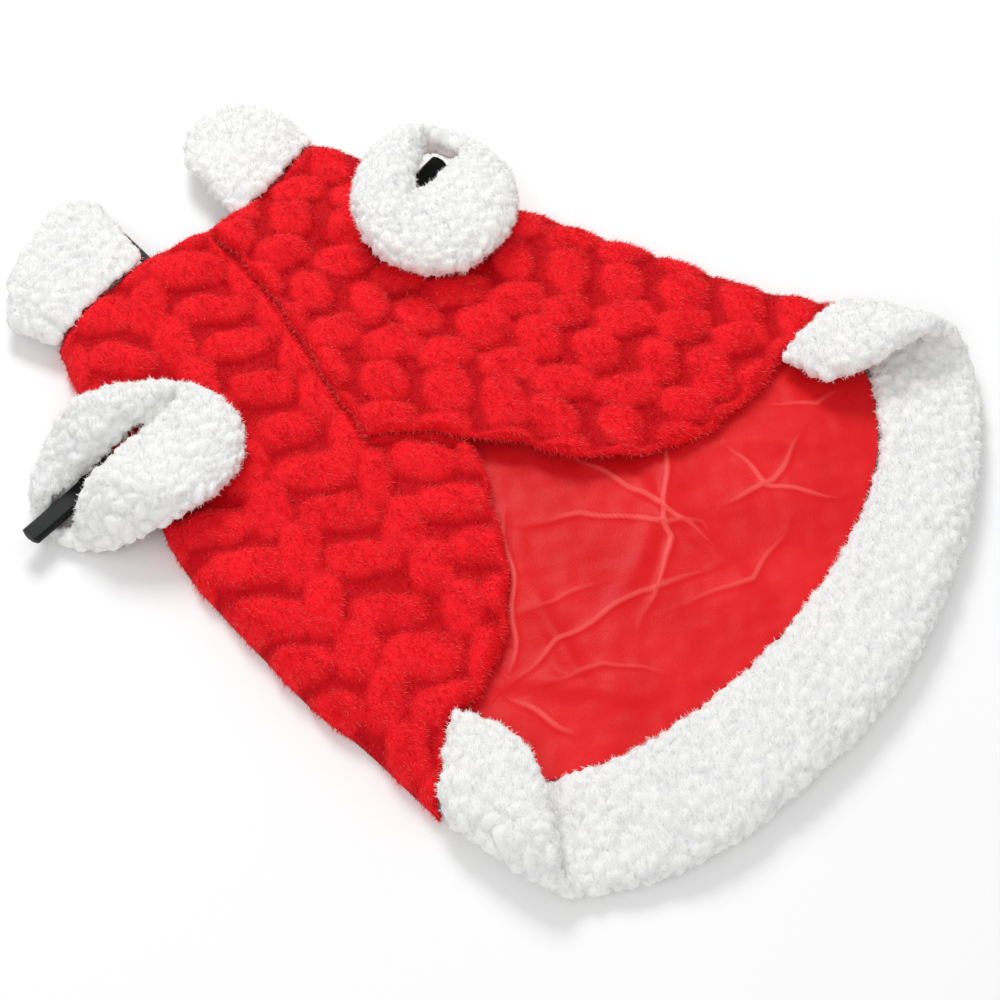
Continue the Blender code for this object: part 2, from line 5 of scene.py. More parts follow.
import bmesh
import bpy
import numpy as np
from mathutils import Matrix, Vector


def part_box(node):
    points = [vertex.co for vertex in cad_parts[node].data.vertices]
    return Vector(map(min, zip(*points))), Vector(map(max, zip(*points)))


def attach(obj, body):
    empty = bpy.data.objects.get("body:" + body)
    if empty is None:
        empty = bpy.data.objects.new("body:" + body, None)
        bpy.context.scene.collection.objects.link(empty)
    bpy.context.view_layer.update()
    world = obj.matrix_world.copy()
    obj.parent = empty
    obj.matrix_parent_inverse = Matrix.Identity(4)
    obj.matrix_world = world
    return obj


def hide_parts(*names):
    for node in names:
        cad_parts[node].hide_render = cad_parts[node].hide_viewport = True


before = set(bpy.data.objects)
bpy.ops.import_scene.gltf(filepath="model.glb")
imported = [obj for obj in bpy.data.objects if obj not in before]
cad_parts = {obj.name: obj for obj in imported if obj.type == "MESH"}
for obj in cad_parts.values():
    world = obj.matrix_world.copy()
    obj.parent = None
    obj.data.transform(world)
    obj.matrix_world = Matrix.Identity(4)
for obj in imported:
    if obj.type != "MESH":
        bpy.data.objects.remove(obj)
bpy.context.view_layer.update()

MM = 0.001

# The garment's own plan, in millimetres: X across it, Y from tail to neck
TAIL_SEAM_LOWEST_Y = -145.0
HANGER_LEFT_X = -173.0
PLAN_X = HANGER_LEFT_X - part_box("hanger")[0].x / MM
PLAN_Y = TAIL_SEAM_LOWEST_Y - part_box("back_panel")[0].y / MM

# Back panel: its wall, the sheet itself, the gap to the flaps' sides, and its pads on the underside
BACK_WALL = 4.0
BACK_CLOTH = 2.4
BACK_SIDE_GAP = 2.2
BACK_PAD_HEIGHT = 1.3
BACK_PAD_STEEPNESS = 1.4

# Lining: above the back panel, its lowest and highest fold, and its tail edge
LINING_GAP = 0.4
LINING_WALL = 0.7
LINING_LIFT = 0.55
LINING_DRIFT = 0.3
LINING_DRIFT_SIZES = (34.0, 15.0)
LINING_RANGE = (-0.5, 3.2)
LINING_TAIL_SHARE = 0.99
LINING_TAIL_OUT = 0.6

# Ends of the lining's folds and creases, where their height starts along them
FOLD_END = 0.1
CREASE_END = 0.06

# A crease of the lining: width of its ridge, of the step beside it, of the sag round it, of its painted
# highlight line
RIDGE_WIDTH = 2.0
STEP_WIDTH = 1.5
SAG_WIDTH = 9.0
SAG_SHARE = 0.45
CREASE_HIGHLIGHT_WIDTH = 1.8

# Front flaps: their walls, and the side that turns down to the surface
FLAP_WALL = 3.0
FLAP_CLOTH = 2.2
FLAP_INSIDE = 7.6
SIDE_WALL = 4.2
SIDE_ROUND = 10.0
SIDE_BULGE = 0.35
FOOT_HEIGHT = 0.5
ARMHOLE_LOW_Y = 100.0
ARMHOLE_HIGH_Y = 187.0
ARMHOLE_EASE = 10.0

# Free edges of the flaps: rounded over, free of pads, and a little wavy
EDGE_ROUND = 3.0
EDGE_DROP = 1.6
END_FADE = 6.0
FRONT_FADE = 2.5
EDGE_WAVE = 0.8
EDGE_WAVE_REACH = 12.0
EDGE_WAVE_LONG = 5.7
EDGE_WAVE_TURN = 9.1
EDGE_WAVE_SHORT = 2.9

# The right flap's step over the left one
OVERLAP_STEP = 4.3
OVERLAP_EDGE_X = 26.0
OVERLAP_RAMP = 14.0
COVER_IN = 1.0
COVER_FADE = 4.0

# Raised pads: height, how far each strays, how its size and turn vary, and its form
PAD_HEIGHT = 4.2
PAD_STRAY = 3.0
PAD_SIZE_VARIES = 0.16
PAD_TURN_VARIES = 22.0
PAD_SHIFT = 0.45
PAD_SQUARENESS = 2.6
PAD_ROUNDNESS = 2.2
PAD_FULLNESS = 0.8
PAD_SEED = 3.0
LOOSE_HEIGHT = 0.5
LOOSE_SIZE = 46.0

# Rows and columns of points of each cloth, and the points round a flap's side
BACK_GRID = (90, 70)
LINING_GRID = (165, 250)
FLAP_GRID = (170, 105)
SIDE_POINTS = 8

# Nap of a flap: number of fibres, shortest and longest, thinnest and thickest, and how they stand
NAP_COUNT = 32500
NAP_LENGTH = (1.8, 3.6)
NAP_THICKNESS = (0.3, 0.46)
NAP_LOW_SHARE = 0.6
NAP_STAND = 0.62
NAP_BRUSHED = (0.12, -0.85, 0.0)
NAP_SPREAD = 0.42
NAP_ROOT_DEPTH = 0.25
NAP_TONE_VARIES = (-0.2, 0.12)
# Painted shade: a nap fibre's root is darker than its tip by this share
NAP_ROOT_PAINTED_SHADE = 0.8
NAP_EDGE_COUNT = 3500
NAP_EDGE_STEP = 3
NAP_EDGE_DEPTH = 1.5
NAP_EDGE_SPREAD = 0.45
# Painted shade given to the nap fibres at the free edges
NAP_EDGE_PAINTED_SHADE = 0.75
# Painted highlight on nap tips: its chance anywhere, its added chance on the pads' slopes, and its least
# strength
TIP_HIGHLIGHT_CHANCE = 0.2
TIP_HIGHLIGHT_SLOPE_CHANCE = 1.4
TIP_HIGHLIGHT_LEAST = 0.3

# Curly pile: its curls, the small curls on them, and a slow swelling
CURL_SIZE = 7.4
CURL_HEIGHT = 2.4
CURL_SHARE = 0.65
SMALL_CURL = 0.45
SMALL_CURL_HEIGHT = 0.7
CURL_MARGIN = 0.15
CURL_ROOM = 0.7
CURL_CREASE = 0.7
CURL_FULLNESS = 0.6
SWELL_SIZE = 26.0
SWELL_HEIGHT = 0.6
SMOOTHINGS = 3

# Loose fibres of the pile
FUZZ_LENGTH = (1.0, 2.1)
FUZZ_THICKNESS = (0.26, 0.4)
FUZZ_STAND = 0.75
FUZZ_SPREAD = 0.75
FUZZ_ROOT_STRAY = 0.4
FUZZ_ROOT_DEPTH = 0.3
FUZZ_LOWEST = 0.6
FUZZ_MOST_DOWN = -0.7
FUZZ_TONE_VARIES = (-0.1, 0.2)
# Painted shade: a loose fibre's tip is lighter than its shaded root by this much
FUZZ_ROOT_PAINTED_SHADE = 0.15

# The pieces of pile: node, distance between points, start out of the solid's face, fibres, seed
PILES = (
    ("hem_band", 1.5, -1.3, 22000, 3),
    ("collar_left", 1.2, -0.9, 5000, 5),
    ("collar_right", 1.2, -0.8, 5000, 7),
    ("cuff_left", 1.2, -1.8, 7500, 9),
    ("cuff_right", 1.2, -1.5, 7500, 11),
)
# Pile whose upper part leans over its seam or its hole: the way in the plan, how far, and how far back
# from the part's middle it begins
LEANS = {
    "collar_left": ((0.0, -1.0), 4.2, 0.0),
    "collar_right": ((0.0, -1.0), 3.4, 0.0),
    "cuff_right": ((-0.79, -0.61), 4.5, 150.0),
}
LEAN_EASE = 4.0
LEAN_LOWEST = 6.0
LEAN_RISE = 5.0

# Hanger, which holds the chest up over it
HANGER_X = -24.0
HANGER_HALF_SPAN = 149.0
HANGER_TOP_Y = 221.0
HANGER_RISE = 70.5
HANGER_SHOULDER = 0.8
HANGER_LIFT = 3.0
HANGER_TIP_LIFT = 4.4
HANGER_LIFT_REACH = 24.0

# Outlines of the two front flaps, each a run of (x, y)
LEFT_SIDE = [(-168, -80), (-165, -60), (-161, -32), (-160, -8), (-154, 25), (-147, 60), (-141, 84),
             (-134, 102), (-118, 145), (-101, 185), (-92, 203), (-81, 224)]
LEFT_LOWER = [(-168, -80), (-150, -69), (-131, -58), (-112, -59), (-95, -55), (-74, -45), (-53, -28),
              (-34, -7), (-19, 11), (-9, 30), (2, 46), (16, 54)]
LEFT_UPPER = [(-81, 224), (-51, 225), (-20, 223), (-2, 219), (10, 214), (22, 209)]
LEFT_FRONT = [(16, 54), (20, 100), (22, 150), (22, 209)]
RIGHT_SIDE = [(172, -67), (163, -45), (156, -27), (150, -6), (145, 20), (139, 45), (133, 72),
              (127, 105), (117, 145), (107, 185), (103, 200), (100, 215)]
# The right flap's own side, cut in for the armhole where the cuff covers it
RIGHT_FLAP_SIDE = RIGHT_SIDE[:8] + [(121, 121), (107, 134), (100, 146), (101, 158), (108, 171), (107, 185),
                                    (103, 200), (100, 215)]
RIGHT_LOWER = [(172, -67), (145, -64), (119, -62), (96, -62), (71, -59), (54, -53), (37, -43),
               (22, -31), (11, -16), (4, 2), (-4, 19), (-14, 38), (-25, 53), (-37, 66)]
RIGHT_UPPER = [(100, 215), (68, 211), (40, 209), (14, 208)]
RIGHT_FRONT = [(-37, 66), (-27, 91), (-10, 130), (5, 167), (14, 208)]

# Where the right flap's edge lies over the left flap: (y, x)
COVER_EDGE = [(-8, 7), (19, -4), (38, -14), (53, -25), (66, -37), (91, -27), (130, -10), (167, 5),
              (208, 14)]

# Raised pads of the plush, in columns that run down the garment: column x, column y, lean, column
# pitch, pad pitch, long pad and second pad (half length, half width, degrees)
PAD_RULES = {
    "left": (-80.0, 48.0, 0.45, 27.5, 25.5, (20.0, 11.6, -50.0), (18.5, 10.6, 42.0)),
    "right": (60.0, 39.0, -0.44, 25.0, 26.0, (15.8, 12.2, 50.0), (16.0, 11.8, -38.0)),
    "back": (0.0, 20.0, 0.0, 27.0, 25.5, (18.5, 11.6, -46.0), (18.5, 10.8, 42.0)),
}

# Back panel and lining
TAIL_SEAM = [(-158, -80), (-140, -97), (-110, -119), (-60, -138), (0, -145), (60, -140), (110, -123),
             (142, -98), (160, -72)]
BACK_NECK = [(-74, 221), (-40, 222), (0, 217), (50, 210), (94, 212)]
LINING_TOP = [(-150, -52), (-112, -40), (-75, -20), (-42, 12), (-12, 50), (20, 50), (38, -8), (72, -38),
              (112, -46), (152, -48)]

# Broad folds of the lining: start (x, y), end (x, y), height, half width
LINING_FOLDS = [
    ((24, -40), (4, -128), 1.7, 5.0),
    ((-52, -36), (-88, -104), 1.5, 5.0),
    ((-36, -78), (36, -60), 1.4, 6.0),
    ((-96, -66), (-70, -116), 1.6, 6.0),
    ((66, -64), (98, -108), 1.3, 6.0),
]
# Sharp creases of the lining: height, then the run of (x, y)
LINING_CREASES = [
    (1.5, [(58, -38), (48, -45), (11, -69), (6, -76), (-10, -84), (-35, -91)]),
    (1.0, [(16, -11), (18, -40), (18, -65), (14, -96)]),
    (1.3, [(-30, -19), (-8, -37), (9, -64), (21, -84), (19, -90)]),
    (1.2, [(-29, -7), (-57, -34), (-81, -54), (-96, -62)]),
    (0.8, [(-69, -48), (-48, -57), (-30, -68)]),
    (1.0, [(-103, -66), (-70, -69), (-27, -82), (8, -104)]),
    (1.3, [(-105, -68), (-103, -105)]),
    (0.8, [(-92, -78), (-66, -92), (-52, -118)]),
    (1.0, [(34, -84), (62, -96), (92, -92)]),
    (1.1, [(66, -66), (58, -96), (72, -126)]),
    (0.8, [(96, -66), (112, -88), (128, -92)]),
    (0.9, [(-24, -100), (10, -118), (44, -116)]),
]

# Colours
# Painted shade: the red that the plush's creases darken to, where the pads shade them
PLUSH_CREASE_PAINTED_SHADE = (0.52, 0.0, 0.005, 1.0)
PLUSH_RAISED = (0.87, 0.009, 0.018, 1.0)
PLUSH_BRUSHED = (0.60, 0.001, 0.007, 1.0)
# Painted highlight: the pale pink that some nap tips take
PLUSH_TIP_PAINTED_HIGHLIGHT = (1.0, 0.26, 0.26, 1.0)
PLUSH_SHEEN = (1.0, 0.15, 0.14, 1.0)
SATIN_DEEP = (0.66, 0.006, 0.011, 1.0)
SATIN_LIGHT = (0.75, 0.012, 0.016, 1.0)
# Painted highlight: the paler line along the satin's creases
SATIN_CREASE_HIGHLIGHT = (0.92, 0.13, 0.12, 1.0)
PILE_CREAM = (0.955, 0.95, 0.92, 1.0)
PILE_WHITE = (0.93, 0.93, 0.92, 1.0)
# Painted shade: the blue-grey of the creases between the curls
PILE_PAINTED_CREASE_SHADE = (0.77, 0.775, 0.785, 1.0)
PLASTIC_DEEP = (0.006, 0.007, 0.007, 1.0)
PLASTIC_LIGHT = (0.012, 0.013, 0.013, 1.0)
FLOOR_DEEP = (0.90, 0.90, 0.90, 1.0)
FLOOR_LIGHT = (0.92, 0.92, 0.92, 1.0)
SKY = (1.0, 1.0, 1.0, 1.0)

# Studio: the sky's strength, half the floor's width, and lamps with place, width and watts, in metres
SKY_STRENGTH = 0.62
FLOOR_HALF = 4.0
LAMPS = (("key", (0.75, 0.95, 1.25), 0.7, 16.0), ("fill", (-1.1, -0.5, 1.3), 1.2, 7.0))

# The camera, solved from the garment's flat outlines: pixels of focal length in a frame 1000 wide,
# metres to the point looked at, degrees down and degrees round, and that point in the plan
FOCAL_PIXELS = 2100.0
FRAME_PIXELS = 1000.0
SENSOR_WIDTH = 36.0
CAMERA_DISTANCE = 0.972
CAMERA_DOWN = math.radians(54.0)
CAMERA_ROUND = math.radians(52.6)
CAMERA_FARTHEST = 20.0
LOOK_AT = (-21.2, 0.0)


# Measures and curves

def to_world(points):
    """Plan millimetres to metres of the shared frame."""
    return (np.asarray(points, float) - np.array([PLAN_X, PLAN_Y, 0.0])) * MM


def ease(value):
    """A smooth step from 0 to 1."""
    t = np.clip(value, 0.0, 1.0)
    return t * t * (3.0 - 2.0 * t)


def inner(place, end):
    """A place, 0 to 1, moved in from both ends."""
    return end + (1.0 - 2.0 * end) * place


def curve_through(table):
    """A smooth curve through a run of (x, y), read at 0 to 1 of its length."""
    rows = np.array(table, float)
    steps = np.linalg.norm(np.diff(rows, axis=0), axis=1)
    knots = np.concatenate([[0.0], np.cumsum(steps)]) / np.sum(steps)
    slopes = np.gradient(rows, knots, axis=0)

    def read(at):
        at = np.clip(np.atleast_1d(np.asarray(at, float)), 0.0, 1.0)
        low = np.clip(np.searchsorted(knots, at, side="right") - 1, 0, len(knots) - 2)
        span = (knots[low + 1] - knots[low])[:, None]
        t = (at[:, None] - knots[low][:, None]) / span
        return ((2 * t**3 - 3 * t**2 + 1) * rows[low] + (t**3 - 2 * t**2 + t) * span * slopes[low]
                + (3 * t**2 - 2 * t**3) * rows[low + 1] + (t**3 - t**2) * span * slopes[low + 1])

    return read


def patch(side, front, lower, upper):
    """A plan surface between four edge curves: u from side to front, v from lower to upper."""
    side, front, lower, upper = [curve_through(edge) for edge in (side, front, lower, upper)]

    def read(u, v):
        at_side, at_front, at_lower, at_upper = side(v), front(v), lower(u), upper(u)
        u, v = u[:, None], v[:, None]
        corners = ((1 - u) * (1 - v) * lower(0.0) + u * (1 - v) * lower(1.0)
                   + (1 - u) * v * upper(0.0) + u * v * upper(1.0))
        return (1 - u) * at_side + u * at_front + (1 - v) * at_lower + v * at_upper - corners

    return read


def laid_flat(surface, rows, columns):
    """Rows and columns of points of a plan surface, at height 0."""
    points = np.zeros((rows, columns, 3))
    for r, v in enumerate(np.linspace(0.0, 1.0, rows)):
        points[r, :, :2] = surface(np.linspace(0.0, 1.0, columns), np.full(columns, v))
    return points


def from_line(x, y, run):
    """Signed distance from a run of (x, y), and how far along it, 0 to 1."""
    run = np.array(run, float)
    lengths = np.linalg.norm(np.diff(run, axis=0), axis=1)
    start = np.concatenate([[0.0], np.cumsum(lengths)])
    best = np.full(x.shape, np.inf)
    place = np.zeros(x.shape)
    for a, b, length, begun in zip(run[:-1], run[1:], lengths, start[:-1]):
        way = (b - a) / length
        along = np.clip((x - a[0]) * way[0] + (y - a[1]) * way[1], 0.0, length)
        dx, dy = x - a[0] - along * way[0], y - a[1] - along * way[1]
        distance = np.hypot(dx, dy)
        sign = np.where(way[0] * dy - way[1] * dx < 0, -1.0, 1.0)
        nearer = distance < np.abs(best)
        best = np.where(nearer, distance * sign, best)
        place = np.where(nearer, (begun + along) / start[-1], place)
    return best, place


def scatter(cells, seed):
    """A fixed random number, 0 to 1, for each whole-number cell and axis."""
    spin = np.array([[127.1, 311.7, 74.7], [269.5, 183.3, 246.1], [113.5, 271.9, 124.6]])
    wave = np.sin(cells @ spin.T + seed * 17.3) * 43758.5453
    return wave - np.floor(wave)


def drift(points, size, seed):
    """Slow uneven swelling, -1 to 1."""
    turned = points / size * 2 * math.pi
    x, y, z = turned[:, 0], turned[:, 1], turned[:, 2]
    return (np.sin(x + 1.7 * np.sin(0.61 * y + seed)) + np.sin(1.13 * y + 1.3 * np.sin(0.73 * x + 2 * seed))
            + np.sin(0.9 * z + x * 0.4 + seed)) / 3.0


# Meshes

def grid_piece(name, points, values, turn_over=False):
    """A grid moved point by point to rows and columns of plan points, with named values at its points."""
    rows, columns = points.shape[:2]
    placed = to_world(points)
    bm = bmesh.new()
    bmesh.ops.create_grid(bm, x_segments=columns - 1, y_segments=rows - 1, size=0.5)
    order = []
    for vertex in bm.verts:
        column = round((vertex.co.x + 0.5) * (columns - 1))
        row = round((vertex.co.y + 0.5) * (rows - 1))
        vertex.co = placed[row, column]
        order.append(row * columns + column)
    if turn_over:
        bmesh.ops.reverse_faces(bm, faces=bm.faces[:])
    mesh = bpy.data.meshes.new(name)
    bm.to_mesh(mesh)
    bm.free()
    mesh.shade_smooth()
    for key, value in values.items():
        give_values(mesh, key, value.ravel()[order])
    return in_scene(name, mesh)


def give_values(mesh, key, values):
    """A named value for each point of a mesh."""
    layer = mesh.attributes.new(key, "FLOAT", "POINT")
    layer.data.foreach_set("value", values.astype(np.float32))


def in_scene(name, data):
    """A new object in the scene for a mesh, a light or a camera."""
    made = bpy.data.objects.new(name, data)
    bpy.context.collection.objects.link(made)
    return made


def thicken(piece, wall):
    """Give a sheet its wall, inwards from its shown face."""
    solid = piece.modifiers.new("wall", "SOLIDIFY")
    solid.thickness = wall * MM
    solid.offset = -1.0
    solid.use_rim = True


# Plush

def one_pad(x, y, size, turn, half_long, half_wide):
    """Height of one raised pad, 0 to 1, at distances x and y from its middle."""
    along = x * np.cos(turn) + y * np.sin(turn)
    over = -x * np.sin(turn) + y * np.cos(turn)
    reach = np.abs(along / half_long) ** PAD_SQUARENESS + np.abs(over / half_wide) ** PAD_SQUARENESS
    reach = reach ** (1 / PAD_SQUARENESS) / size
    return np.clip(1.0 - reach**PAD_ROUNDNESS, 0.0, 1.0) ** PAD_FULLNESS


def pads(which, x, y):
    """Height of the raised pads, 0 to 1, at plan points, which wobble so that no pad has a straight side."""
    column_x, column_y, lean, pitch, pad_pitch, first, second = PAD_RULES[which]
    wobble_x = x + 1.6 * np.sin(y / 13.0 + 0.7 * np.sin(x / 21.0)) + 0.7 * np.sin(y / 2.9 + x / 5.3)
    wobble_y = y + 1.4 * np.sin(x / 11.0 + 1.1) + 0.7 * np.sin(x / 3.1 - y / 4.7)
    across = wobble_x - column_x - lean * (wobble_y - column_y)
    nearest = np.round(across / pitch)
    height = np.zeros_like(x)
    for side in (-1, 0, 1):
        column = nearest + side
        odd = np.mod(column, 2) == 1
        phase = np.where(np.mod(column, 4) == 2, PAD_SHIFT, 0.0)
        row = np.round((column_y - wobble_y) / pad_pitch - phase)
        for step in (-1, 0, 1):
            chance = scatter(np.stack([column, row + step, np.zeros_like(x)], axis=-1), PAD_SEED) - 0.5
            pad_y = column_y - (row + step + phase) * pad_pitch + PAD_STRAY * chance[..., 0]
            pad_x = column_x + column * pitch + lean * (pad_y - column_y) + PAD_STRAY * chance[..., 1]
            size = 1.0 + PAD_SIZE_VARIES * chance[..., 2]
            for is_odd, (half_long, half_wide, degrees) in ((False, first), (True, second)):
                turn = np.radians(degrees + PAD_TURN_VARIES * chance[..., 0])
                crown = one_pad(wobble_x - pad_x, wobble_y - pad_y, size, turn, half_long, half_wide)
                height = np.where(odd == is_odd, np.maximum(height, crown), height)
    return height


def hanger_line(x):
    """How far towards the neck the hanger's bar lies at x."""
    reach = np.abs(x - HANGER_X) / HANGER_HALF_SPAN
    turn = np.clip(reach / HANGER_SHOULDER, 0.0, 1.0)
    return HANGER_TOP_Y - HANGER_RISE * (1.0 - np.cos(math.pi * turn)) / 2.0


def hanger_lift(x, y):
    """How far the hanger's bar lifts the flaps, most at its two ends."""
    reach = np.clip(np.abs(x - HANGER_X) / HANGER_HALF_SPAN, 0.0, 1.0)
    amount = HANGER_LIFT + HANGER_TIP_LIFT * reach**2
    return amount * np.exp(-((y - hanger_line(x)) / HANGER_LIFT_REACH) ** 2)


def left_inside(x, y):
    """Height of the left flap's inner face."""
    return FLAP_INSIDE + hanger_lift(x, y)


def right_inside(x, y):
    """Height of the right flap's inner face, a step higher where it lies over the left flap."""
    over = ease((OVERLAP_EDGE_X + OVERLAP_RAMP - x) / OVERLAP_RAMP)
    return FLAP_INSIDE + hanger_lift(x, y) + OVERLAP_STEP * over


def under_overlap(x, y):
    """The left flap's pads lie flat where the right flap covers them."""
    cover = np.array(COVER_EDGE, float)
    edge = np.interp(y, cover[:, 0], cover[:, 1])
    return ease((edge - COVER_IN - x) / COVER_FADE)


def all_raised(x, y):
    """Every pad of the right flap is raised."""
    return np.ones_like(x)


def edge_wave(plan):
    """The unevenness of a free edge."""
    turned = plan[:, [1, 0]]
    return (np.sin(turned / EDGE_WAVE_LONG + 0.8 * np.sin(plan / EDGE_WAVE_TURN))
            + 0.5 * np.sin(turned / EDGE_WAVE_SHORT))


def flap(which, edges, inside, mask):
    """A front flap's outer face, with the side that turns down to the surface outside the armhole.

    What comes back is its points, its points without pads, and its painted shade, 1 on the pads to 0 in the
    creases.
    """
    rows, columns = FLAP_GRID
    surface = patch(*edges)
    side, front = curve_through(edges[0]), curve_through(edges[1])
    length = np.linalg.norm(np.diff(np.array(edges[0], float), axis=0), axis=1).sum()
    turns = np.linspace(0.0, math.pi / 2, SIDE_POINTS)
    rise = np.concatenate([np.sin(turns), np.ones(columns)])
    sideways = np.concatenate([np.cos(turns), np.zeros(columns)])
    shown = np.zeros((rows, SIDE_POINTS + columns, 3))
    plain = np.zeros_like(shown)
    raised = np.zeros(shown.shape[:2])
    shade = np.ones(shown.shape[:2])
    for r, v in enumerate(np.linspace(0.0, 1.0, rows)):
        width = float(np.linalg.norm(front(v)[0] - side(v)[0]))
        flat = np.linspace(SIDE_ROUND, width, columns + 1)[1:]
        from_side = np.concatenate([SIDE_ROUND * (1.0 - np.cos(turns)), flat])
        from_end = min(v, 1.0 - v) * length
        from_front = width - from_side
        from_edge = np.minimum(from_end, from_front)
        plan = surface(from_side / width, np.full(len(from_side), v))
        near_edge = 1.0 - ease(from_edge / EDGE_WAVE_REACH)
        plan = plan + EDGE_WAVE * (near_edge * rise)[:, None] * edge_wave(plan)

        edge_y = side(v)[0, 1]
        opened = (ease((edge_y - ARMHOLE_LOW_Y) / ARMHOLE_EASE)
                  * ease((ARMHOLE_HIGH_Y - edge_y) / ARMHOLE_EASE))
        ceiling = inside(plan[:, 0], plan[:, 1])
        skin = ceiling + FLAP_WALL
        foot = opened * ceiling
        plain[r, :, :2] = plan
        plain[r, :, 2] = foot + (skin - foot) * rise

        crown = pads(which, plan[:, 0], plan[:, 1])
        fade = ease(np.minimum(from_end / END_FADE, from_front / FRONT_FADE))
        shaped = fade * mask(plan[:, 0], plan[:, 1])
        pad = crown * shaped
        to_edge = np.clip(from_edge / EDGE_ROUND, 0.0, 1.0)
        rounded = EDGE_DROP * (1.0 - np.sqrt(1.0 - (1.0 - to_edge) ** 2))
        outward = (plan[0] - plan[-1]) / np.linalg.norm(plan[0] - plan[-1])
        bulge = SIDE_BULGE * PAD_HEIGHT * pad * sideways
        bulge[0] = 0.0
        shown[r, :, :2] = plan + outward * bulge[:, None]
        shown[r, :, 2] = np.maximum(plain[r, :, 2] + (PAD_HEIGHT * pad - rounded) * rise, FOOT_HEIGHT)
        raised[r] = pad
        # Painted shade: darker in the creases between the pads, none where the pads fade out
        shade[r] = 1.0 - (1.0 - crown) * shaped
    loose = drift(shown.reshape(-1, 3), LOOSE_SIZE, 2.0).reshape(raised.shape)
    shown[:, SIDE_POINTS:, 2] += LOOSE_HEIGHT * loose[:, SIDE_POINTS:] * ease(raised[:, SIDE_POINTS:] * 2.0)
    return shown, plain, shade


def back_plush():
    """The back panel, its embossed face down on the surface."""
    inset = SIDE_WALL + BACK_SIDE_GAP
    left = [TAIL_SEAM[0]] + [(x + inset, y) for x, y in LEFT_SIDE[1:-1]] + [BACK_NECK[0]]
    right = [TAIL_SEAM[-1]] + [(x - inset, y) for x, y in RIGHT_SIDE[1:-1]] + [BACK_NECK[-1]]
    plain = laid_flat(patch(left, right, TAIL_SEAM, BACK_NECK), *BACK_GRID)
    raised = pads("back", plain[:, :, 0], plain[:, :, 1])
    shown = plain.copy()
    shown[:, :, 2] = BACK_PAD_HEIGHT * (1.0 - ease(raised * BACK_PAD_STEEPNESS))
    return shown, plain, raised


# Satin lining

def satin():
    """The lining's upper face, with its broad folds and sharp creases, and how much painted highlight each
    point has along the creases.
    """
    low_edge = [(x * LINING_TAIL_SHARE, y - LINING_TAIL_OUT) for x, y in TAIL_SEAM]
    left, right = [low_edge[0], LINING_TOP[0]], [low_edge[-1], LINING_TOP[-1]]
    shown = laid_flat(patch(left, right, low_edge, LINING_TOP), *LINING_GRID)
    x, y = shown[:, :, 0], shown[:, :, 1]
    height = np.zeros_like(x)
    for start, end, tall, half_width in LINING_FOLDS:
        away, place = from_line(x, y, [start, end])
        swell = np.exp(-((away / half_width) ** 2)) * np.sin(math.pi * inner(place, FOLD_END))
        height = np.maximum(height, tall * swell)
    painted_crease_highlight = np.zeros_like(x)
    for tall, run in LINING_CREASES:
        away, place = from_line(x + 0.8 * np.sin(y / 4.0), y + 0.8 * np.sin(x / 5.0), run)
        ends = np.sin(math.pi * inner(place, CREASE_END)) ** 0.5
        ridge = np.exp(-((away / RIDGE_WIDTH) ** 2))
        sag = SAG_SHARE * np.tanh(away / STEP_WIDTH) * np.exp(-((away / SAG_WIDTH) ** 2))
        height = height + 0.5 * tall * ends * (ridge + sag)
        # Painted highlight: a pale line along each crease's ridge
        painted_crease_highlight = np.maximum(painted_crease_highlight, ends * np.exp(-((away / CREASE_HIGHLIGHT_WIDTH) ** 2)) * min(1.0, tall))
    flat = shown.reshape(-1, 3)
    large, small = LINING_DRIFT_SIZES
    slow = drift(flat, large, 1.0) + 0.7 * drift(flat, small, 4.0)
    height = np.clip(height + LINING_DRIFT * slow.reshape(height.shape), *LINING_RANGE)
    shown[:, :, 2] = BACK_WALL + LINING_GAP + LINING_WALL + LINING_LIFT + height
    return shown, painted_crease_highlight


# Curly pile

def even_form(node, spacing):
    """A solid's mesh, made over with evenly spaced points."""
    bm = bmesh.new()
    bm.from_mesh(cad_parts[node].data)
    bmesh.ops.remove_doubles(bm, verts=bm.verts[:], dist=1e-6)
    base = bpy.data.meshes.new(node + "_form")
    bm.to_mesh(base)
    bm.free()
    form = in_scene(node + "_form", base)
    remesh = form.modifiers.new("even", "REMESH")
    remesh.mode = "VOXEL"
    remesh.voxel_size = spacing * MM
    graph = bpy.context.evaluated_depsgraph_get()
    even = bpy.data.meshes.new_from_object(form.evaluated_get(graph))
    bpy.data.objects.remove(form, do_unlink=True)
    return even


def tufts(points, size, seed):
    """Plump lumps packed side by side, 1 on their crowns and 0 in the narrow creases between them."""
    scaled = points / size
    bent = 0.24 * np.sin(2.7 * scaled[:, [1, 2, 0]] + seed) + 0.12 * np.sin(6.1 * scaled[:, [2, 0, 1]])
    scaled = scaled + bent
    cell = np.floor(scaled)
    nearest = np.full(len(points), np.inf)
    second = np.full(len(points), np.inf)
    for dx in (-1, 0, 1):
        for dy in (-1, 0, 1):
            for dz in (-1, 0, 1):
                there = cell + np.array([dx, dy, dz])
                middle = CURL_ROOM * scatter(there, seed)
                away = np.linalg.norm(scaled - there - CURL_MARGIN - middle, axis=1)
                second = np.where(away < nearest, nearest, np.minimum(second, away))
                nearest = np.minimum(nearest, away)
    crease = ease((second - nearest) / CURL_CREASE) ** CURL_FULLNESS
    return 0.5 * crease + 0.5 * np.clip(1.0 - nearest**2, 0.0, 1.0)


def lean_over(spots, ways, lean_way, lean_far, lean_from):
    """Move the upper faces that look the way of the lean further that way."""
    lean_way = np.array(lean_way)
    facing = np.clip(ways[:, :2] @ lean_way, 0.0, 1.0)
    begun = ease((-(spots[:, :2] @ lean_way) - lean_from) / LEAN_EASE)
    begun = begun * ease((spots[:, 2] - LEAN_LOWEST) / LEAN_RISE)
    spots[:, :2] += lean_far * (facing * begun)[:, None] * lean_way


